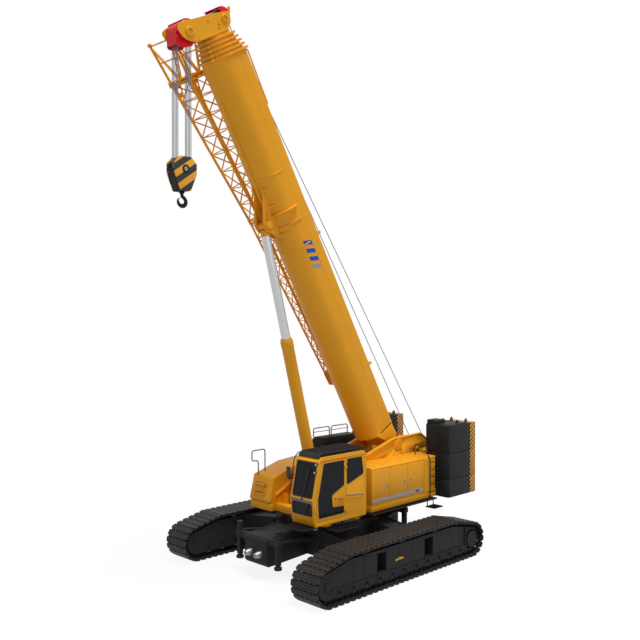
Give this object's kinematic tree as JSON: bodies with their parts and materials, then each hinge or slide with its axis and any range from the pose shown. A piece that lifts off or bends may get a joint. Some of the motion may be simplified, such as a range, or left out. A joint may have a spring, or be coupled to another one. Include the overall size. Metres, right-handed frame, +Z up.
{
  "type": "telescopic boom crawler crane",
  "caption": "Crawler crane with a telescoping box boom, a stowed lattice jib, a cab, counterweights and a hook block.",
  "frame": {"origin": "on the ground, on the slewing axis, midway between the tracks", "axes": "+X to the front of the machine, +Y to its left (cab) side, +Z up; boom at its working angle"},
  "size_m": [10.0625, 6.09, 14.6431],
  "materials": {
    "yellow_paint": "gloss",
    "dark_paint": "satin",
    "track_steel": "matt, worn on the pads",
    "red_paint": "gloss",
    "rod_chrome": "polished",
    "tinted_glass": "clear",
    "wire_rope": "greased",
    "cab_trim": "matt",
    "seat_fabric": "woven"
  },
  "bodies": {
    "undercarriage": {"car_body": "dark_paint", "slewing_ring": "dark_paint", "track_frame_left": "dark_paint", "track_frame_right": "dark_paint", "track_left": "track_steel", "track_right": "track_steel", "idlers": "dark_paint", "sprockets": "dark_paint", "track_rollers": "dark_paint", "support_jacks": "dark_paint"},
    "superstructure": {"turntable": "yellow_paint", "cab_shell": "yellow_paint", "cab_glass": "tinted_glass", "operator_seat": "seat_fabric", "control_consoles": "cab_trim", "cab_roof_guard": "dark_paint", "left_housing": "yellow_paint", "right_housing": "yellow_paint", "cooling_and_exhaust": "dark_paint", "walkways": "dark_paint", "handrails": "dark_paint", "counterweight_left": "dark_paint", "counterweight_right": "dark_paint"},
    "cab_door": {"cab_door": "yellow_paint", "cab_door_glass": "tinted_glass"},
    "main_winch": {"main_winch_drum": "dark_paint"},
    "auxiliary_winch": {"auxiliary_winch_drum": "dark_paint"},
    "boom_base": {"boom_base_section": "yellow_paint", "jib_root_section": "yellow_paint", "jib_tip_section": "yellow_paint", "jib_brackets": "yellow_paint"},
    "boom_2": {"boom_section_2": "yellow_paint"},
    "boom_3": {"boom_section_3": "yellow_paint"},
    "boom_4": {"boom_section_4": "yellow_paint"},
    "boom_5": {"boom_section_5": "yellow_paint"},
    "boom_6": {"boom_section_6": "yellow_paint", "boom_head": "yellow_paint", "head_sheaves": "dark_paint", "sheave_guards": "red_paint"},
    "lift_rod": {"lift_cylinder_rod": "rod_chrome"},
    "lift_barrel": {"lift_cylinder_barrel": "yellow_paint"},
    "hoist_line": {"hook_falls": "wire_rope", "swinging_rope_guard": "red_paint"},
    "hook_block": {"hook_block": "yellow_paint"},
    "hook": {"hook": "yellow_paint"}
  },
  "joints": [
    {"name": "slew", "type": "hinge", "parent": "undercarriage", "child": "superstructure", "pos_m": [0, 0, 1.3], "axis": [0, 0, 1], "continuous": true},
    {"name": "cab_door_hinge", "type": "hinge", "parent": "superstructure", "child": "cab_door", "pos_m": [0.79, 1.512, 2.335], "axis": [0, 0, 1], "range_deg": [0, 95]},
    {"name": "main_winch_spin", "type": "hinge", "parent": "superstructure", "child": "main_winch", "pos_m": [-3.35, 0, 2.7], "axis": [0, 1, 0], "continuous": true},
    {"name": "auxiliary_winch_spin", "type": "hinge", "parent": "superstructure", "child": "auxiliary_winch", "pos_m": [-4.18, 0, 2.33], "axis": [0, 1, 0], "continuous": true},
    {"name": "luff", "type": "hinge", "parent": "superstructure", "child": "boom_base", "pos_m": [-2.45, 0, 3], "axis": [0, -1, 0], "range_deg": [-58, 20]},
    {"name": "telescope_2", "type": "slide", "parent": "boom_base", "child": "boom_2", "axis": [0.4976, 0, 0.8674], "range_m": [0, 9.6]},
    {"name": "telescope_3", "type": "slide", "parent": "boom_2", "child": "boom_3", "axis": [0.4976, 0, 0.8674], "range_m": [0, 9.6]},
    {"name": "telescope_4", "type": "slide", "parent": "boom_3", "child": "boom_4", "axis": [0.4976, 0, 0.8674], "range_m": [0, 9.6]},
    {"name": "telescope_5", "type": "slide", "parent": "boom_4", "child": "boom_5", "axis": [0.4976, 0, 0.8674], "range_m": [0, 9.6]},
    {"name": "telescope_6", "type": "slide", "parent": "boom_5", "child": "boom_6", "axis": [0.4976, 0, 0.8674], "range_m": [0, 9.6]},
    {"name": "rod_swing", "type": "hinge", "parent": "boom_base", "child": "lift_rod", "pos_m": [2.37807, 0, 9.28031], "axis": [0, -1, 0], "range_deg": [-14.2, 5]},
    {"name": "barrel_slide", "type": "slide", "parent": "lift_rod", "child": "lift_barrel", "axis": [-0.2565, 0, -0.9666], "range_m": [-2.6, 0.9]},
    {"name": "hook_swing", "type": "hinge", "parent": "boom_6", "child": "hoist_line", "pos_m": [5.00132, 0, 13.71268], "axis": [0, -1, 0], "range_deg": [-20.5, 58.5]},
    {"name": "hoist", "type": "slide", "parent": "hoist_line", "child": "hook_block", "axis": [0, 0, -1], "range_m": [-2.2, 6], "deforming": ["hook_falls"]},
    {"name": "hook_swivel", "type": "hinge", "parent": "hook_block", "child": "hook", "pos_m": [5.00132, 0, 9.9], "axis": [0, 0, 1], "continuous": true}
  ],
  "couplings": [
    {"joint": "telescope_3", "follows": "telescope_2", "ratio": 1},
    {"joint": "telescope_4", "follows": "telescope_2", "ratio": 1},
    {"joint": "telescope_5", "follows": "telescope_2", "ratio": 1},
    {"joint": "telescope_6", "follows": "telescope_2", "ratio": 1},
    {"joint": "rod_swing", "follows": "luff", "ratio": 0.23956},
    {"joint": "barrel_slide", "follows": "luff", "m_per_rad": 2.5432},
    {"joint": "hook_swing", "follows": "luff", "ratio": -1}
  ]
}
